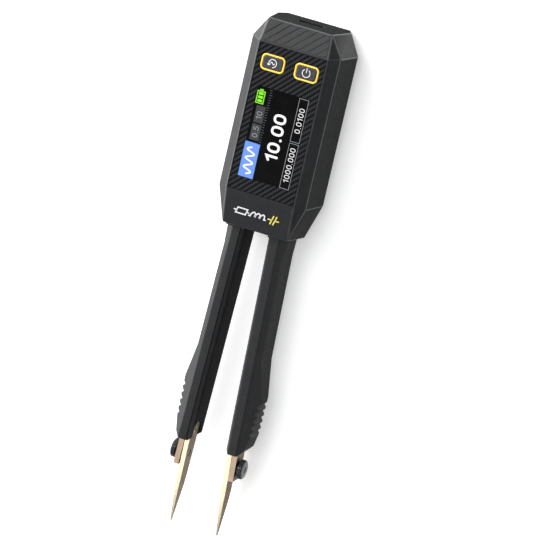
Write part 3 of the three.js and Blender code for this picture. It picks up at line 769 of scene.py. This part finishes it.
class Display:
    """The lit area of the panel. Its methods take millimetres from its lower left corner."""

    def __init__(self):
        low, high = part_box("display_module")
        inset_left, inset_right = 0.6 * MM, 0.65 * MM
        above_panel_end, top = 4.2 * MM, 29.4 * MM
        film, print_thick = 0.015 * MM, 0.02 * MM
        self.x0, self.y0 = low.x + inset_left, PANEL_LOW.y + above_panel_end
        self.x1, self.y1 = high.x - inset_right, low.y + top
        self.glass = FACE_Z + film
        self.z0, self.z1 = FACE_Z, self.glass + print_thick

    def box(self, x0, x1, y0, y1):
        """A filled rectangle."""
        return plate(self.x0 + x0 * MM, self.x0 + x1 * MM, self.y0 + y0 * MM, self.y0 + y1 * MM, 0.08 * MM,
                     self.z0, self.z1)

    def line(self, points, width, closed=False, lift=0.0):
        """A drawn line, raised by lift where it crosses a filled part."""
        moved = [(self.x0 + x * MM, self.y0 + y * MM) for x, y in points]
        return stroke(moved, width * MM, self.z0, self.z1 + lift * MM, closed)

    def frame(self, x0, x1, y0, y1, width):
        """An open rectangle."""
        return self.line([(x0, y0), (x1, y0), (x1, y1), (x0, y1)], width, closed=True)

    def number(self, text, base_x, y, height, width, stretch, lift=0.0):
        """Digits that read towards +Y, with their tops towards -X, drawn out by stretch."""
        parts = []
        for digit in text:
            lines, advance = digit_lines(digit)
            for points, closed in lines:
                placed = [(base_x - up * height, y + along * height * stretch) for along, up in points]
                parts.append(self.line(placed, width, closed, lift))
            y += advance * height * stretch
        return parts


def make_display():
    """A column of states on the left, a scale of ticks, a large reading, and two boxed ones on the right."""
    d = Display()
    margin, lit_above = 0.05 * MM, 0.02
    cover = plate(d.x0 - margin, d.x1 + margin, d.y0 - margin, d.y1 + margin, 0.25 * MM,
                  FACE_Z - 0.2 * MM, d.glass)
    put("display_cover", cover, "head", GLASS)

    mode_box = d.box(0.05, 4.85, 0.1, 10.9)
    wave_x, wave_swing, wave_y, wave_step, wave_turn = 2.45, 1.25, 1.3, 0.135, 20
    wave = [(wave_x + wave_swing * math.sin(2 * math.pi * i / wave_turn), wave_y + i * wave_step)
            for i in range(3 * wave_turn + 1)]
    ranges = [d.box(1.0, 3.95, 11.7, 16.65), d.box(1.05, 3.95, 17.05, 22.3)]

    bar_pitch, bar_y, bar_width = 1.1, 23.3, 0.8
    battery = [d.frame(0.45, 2.75, 22.95, 26.6, 0.3), d.line([(1.2, 27.05), (2.0, 27.05)], 0.4)]
    for i in range(3):
        bar = bar_y + bar_pitch * i
        battery.append(d.box(0.85, 2.35, bar, bar + bar_width))

    tick_x, tick_y, tick_pitch = 4.25, 10.8, 0.765
    ticks = []
    for i in range(23):
        length = 0.8 if i % 5 == 0 else 0.55
        y = tick_y + i * tick_pitch
        ticks.append(d.line([(tick_x, y), (tick_x + length, y)], 0.16))

    readings_x, line = (13.65, 16.55), 0.14
    outlines = [d.frame(*readings_x, *span, line) for span in ((14.6, 27.8), (0.15, 14.0))]

    small = {"height": 1.5, "width": 0.20, "stretch": 1.3}
    range_base, reading_base = 3.2, 15.9
    pale = [part for text, y in (("0.5", 12.6), ("10", 18.2))
            for part in d.number(text, range_base, y, lift=lit_above, **small)]
    white = d.number("10.00", 10.72, 7.0, 3.25, 0.76, 1.42)
    for text, y in (("1000.000", 2.1), ("0.0100", 17.4)):
        white += d.number(text, reading_base, y, **small)

    groups = (("screen_mode_box", [mode_box], LIT_BLUE),
              ("screen_mode_wave", [d.line(wave, 0.5, lift=lit_above)], LIT_WHITE),
              ("screen_range_boxes", ranges, LIT_GREY), ("screen_range_digits", pale, LIT_PALE),
              ("screen_ticks", ticks, LIT_DIM), ("screen_battery", battery, LIT_GREEN),
              ("screen_outlines", outlines, LIT_PALE), ("screen_digits", white, LIT_WHITE))
    for name, parts, material in groups:
        put(name, joined(parts), "head", material)


# ---- the arms and their tips --------------------------------------------------------------------

def make_arms():
    """Each arm: its two mouldings, the gold blade and the clamp strip, with painted shade in darker materials
    on their sides and ends; the arm covers are a paler copy of the plastic, painted light.
    """
    # The covers' paler plastic is painted light, and the darker copies on the mouldings' sides and ends are
    # painted shade.
    mouldings = (("arm_housing", 0.26 * MM, BODY, SIDE_SHADE), ("arm_cover", 0.14 * MM, COVER_LIGHTENED, INNER_SHADE))
    for name in SIDES:
        body = name + "_arm"
        for part, width, base, side_shade in mouldings:
            node = f"{name}_{part}"
            put(node + "_moulding", softened(node, width), body, base, [node],
                others=[side_shade, END_SHADE], choose=squarely)
        blade, strip = name + "_blade", name + "_clamp_strip"
        # The blade's broad sides in dull brown are painted shade on its gold.
        put(name + "_contact", softened(blade, 0.05 * MM), body, GOLD, [blade],
            others=[METAL_SIDE_SHADE], choose=broadly)
        # The clamp's sides in dull brown and its ends in black steel are painted shade on its brass.
        put(name + "_clamp", softened(strip, 0.08 * MM), body, BRASS, [strip],
            others=[METAL_SIDE_SHADE, BLACK_METAL_AND_END_SHADE], choose=squarely)


def knurl_crests(hub, axis, radius, teeth, bands):
    """The tops of a knurl's teeth, as small raised pads in rings, in a paler metal that paints highlights on
    the teeth.
    """
    along, across, up = round_axes(axis)
    half, sunk, chamfer = 0.21 * MM, 0.08 * MM, 0.03 * MM
    pads = []
    for tooth in range(teeth):
        angle = 2 * math.pi * tooth / teeth
        out = across * math.cos(angle) + up * math.sin(angle)
        side = along.cross(out)
        for start, end in bands:
            loops = []
            for reach, inset in ((radius - sunk, 0.0), (radius - chamfer, 0.0), (radius, chamfer)):
                corners = ((start + inset, inset - half), (end - inset, inset - half),
                           (end - inset, half - inset), (start + inset, half - inset))
                loops.append([Vector(hub) + along * a + side * b + out * reach for a, b in corners])
            pads.append(loft(loops))
    return joined(pads)


def make_thumb_screws():
    """Knurled screws, each with a bevelled outer face and a dimple in it."""
    teeth, rings, ring, ring_pitch = 26, 3, 0.26 * MM, 0.36 * MM
    bite, groove, shank, drum = 0.26 * MM, 0.24 * MM, 1.0 * MM, 1.7 * MM
    point, chamfer, crest = 0.2 * MM, 0.2 * MM, 0.03 * MM
    for name in SIDES:
        joint = next(j for j in frame["joints"] if j["name"] == name + "_screw_turn")
        axis, hub = Vector(joint["axis"]).normalized(), Vector(joint["pos_m"])
        body = name + "_thumb_screw"
        spans = [(p - hub).dot(axis) for p in points_of(body)]
        inner, outer = min(spans), max(spans)
        low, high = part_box(body)
        radius = (high.z - low.z) / 2
        rim = radius - crest
        head = outer - drum
        profile = [(inner, shank * 0.8, 0), (inner + point, shank, 0), (head, shank, 0),
                   (head, rim - 0.5 * MM, 0), (head + 0.12 * MM, rim - 0.16 * MM, bite),
                   (head + chamfer, rim, bite)]
        bands = []
        for i in range(rings):
            start = head + chamfer + i * ring_pitch
            bands.append((start + 0.02 * MM, start + ring - 0.02 * MM))
            profile += [(start + ring, rim, bite), (start + ring + 0.05 * MM, rim - groove, 0),
                        (start + ring_pitch, rim, bite)]
        profile += [(outer - 0.3 * MM, rim, bite), (outer - 0.2 * MM, rim - 0.25 * MM, 0)]
        knurled = turned(profile, hub, axis, 8 * teeth, teeth)
        put(name + "_knurled_head", knurled, body, BLACK_METAL_AND_END_SHADE, [body], smooth_under=50)
        crests = knurl_crests(hub, axis, radius, teeth, bands)
        # The crests' paler metal is a painted highlight.
        put(name + "_knurl_crests", crests, body, CREST_HIGHLIGHT)
        face = [(outer - 0.26 * MM, radius - 0.26 * MM, 0), (outer - 0.04 * MM, radius - 0.42 * MM, 0),
                (outer, radius - 0.5 * MM, 0), (outer, 1.05 * MM, 0), (outer - 0.16 * MM, 0.9 * MM, 0),
                (outer - 0.2 * MM, 0.3 * MM, 0)]
        put(name + "_screw_face", turned(face, hub, axis, 64), body, GREY_METAL)


def make_socket_contacts():
    """The gold pads on both sides of the charging socket's tongue."""
    count, pitch, half_width, half_thick = 12, 0.5 * MM, 0.14 * MM, 0.03 * MM
    tongue_half, setback, length = 0.35 * MM, 1.55 * MM, 2.8 * MM
    low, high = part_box("usb_socket")
    end = high.y - setback
    pads = []
    for z in ((low.z + high.z) / 2 - tongue_half, (low.z + high.z) / 2 + tongue_half):
        for i in range(count):
            x = (i - (count - 1) / 2) * pitch
            pads.append(plate(x - half_width, x + half_width, end - length, end, 0.05 * MM,
                              z - half_thick, z + half_thick))
    put("socket_contacts", joined(pads), "head", GOLD)


def paint_frame():
    """Materials for the CAD nodes that stay as they are."""
    # The socket's near black steel is painted shade in its slot.
    finishes = {"usb_socket": SOCKET_SHADE_METAL, "main_board": BOARD, "upper_board": BOARD, "board_header": INSIDE,
                "shield_can": STEEL, "processor_chip": INSIDE, "battery": FOIL, "battery_pad": FOAM,
                "display_module": GLASS}
    for name in KEYS:
        finishes[name + "_plunger"] = INSIDE
        finishes[name + "_switch"] = STEEL
    for name in SIDES:
        finishes[name + "_washer"] = BLACK_METAL_AND_END_SHADE
        finishes[name + "_conductor"] = BRASS
        finishes[name + "_lead"] = SILICONE
        for part in ("_pivot_pin", "_spring", "_locating_peg"):
            finishes[name + part] = STEEL
    for node in NODES:
        if node.startswith("case_screw"):
            finishes[node] = STEEL
    for node, material in finishes.items():
        NODES[node].data.materials.clear()
        NODES[node].data.materials.append(material)


# ---- stage, lights and camera -------------------------------------------------------------------

def make_floor():
    """A wide pale floor just under the meter."""
    paint = Paint("pale_floor", Roughness=0.9, Specular_IOR_Level=0.1, Emission_Color=(1, 1, 1, 1),
                  Emission_Strength=0.45)
    paint.colour(paint.mix(paint.spread(paint.noise(0.4, 2), 0, 1), (0.83, 0.83, 0.83), (0.86, 0.86, 0.86)))
    bpy.ops.mesh.primitive_plane_add(size=8, location=(0, 0, CAD_BOX[0][2] - 0.1 * MM))
    floor = bpy.context.object
    floor.name = "floor"
    floor.data.materials.append(paint.material)


def softbox(name, place, aim, width, height, power):
    """A rectangular light at a place, turned to face a point; power is in watts."""
    light = bpy.data.lights.new(name, "AREA")
    light.shape = "RECTANGLE"
    light.size, light.size_y = width, height
    light.energy = power
    lamp = bpy.data.objects.new(name, light)
    bpy.context.scene.collection.objects.link(lamp)
    lamp.location = place
    lamp.rotation_euler = (Vector(aim) - Vector(place)).to_track_quat("-Z", "Y").to_euler()


def make_lights():
    """Two wide boxes low on the left, one overhead, a thin one on the right and a small one over the tips."""
    softbox("left_box", (-0.75, 0.05, 0.22), (0, 0, 0.01), 1.3, 0.4, 7.6)
    softbox("left_end", (-0.62, 0.52, 0.24), (0, 0.07, 0.01), 0.7, 0.45, 10.5)
    softbox("overhead", (-0.25, 0.45, 1.1), (0, 0, 0), 0.8, 0.8, 8.0)
    softbox("right_edge", (0.9, -0.15, 0.06), (0, 0, 0.01), 0.8, 0.1, 1.3)
    softbox("tip_box", (-0.34, -0.52, 1.0), (0, -0.06, 0.01), 0.45, 0.48, 0.85)
    world = bpy.data.worlds.new("studio")
    world.use_nodes = True
    sky = world.node_tree.nodes["Background"].inputs
    sky["Color"].default_value = (0.95, 0.97, 1.0, 1)
    sky["Strength"].default_value = 0.28
    bpy.context.scene.world = world
    bpy.context.scene.view_settings.view_transform = "Standard"


def make_camera():
    """A long lens from above and the socket's side, rolled so that the tips hang down in the picture."""
    place, aim = Vector((0.2652, 0.2292, 0.8392)), Vector((0.00732, 0.00448, 0.009))
    roll, sensor_mm, focal_mm, reach = math.radians(-115.747), 36, 194.1, 20
    camera = bpy.data.cameras.new("camera")
    camera.sensor_width, camera.lens, camera.clip_end = sensor_mm, focal_mm, reach
    holder = bpy.data.objects.new("camera", camera)
    bpy.context.scene.collection.objects.link(holder)
    facing = (aim - place).to_track_quat("-Z", "Y").to_matrix().to_4x4()
    holder.matrix_world = Matrix.Translation(place) @ facing @ Matrix.Rotation(roll, 4, "Z")
    bpy.context.scene.camera = holder


make_shells()
make_crown_flats()
make_chin_mark()
make_panel()
make_keys()
make_display()
make_arms()
make_thumb_screws()
make_socket_contacts()
paint_frame()
make_floor()
make_lights()
make_camera()
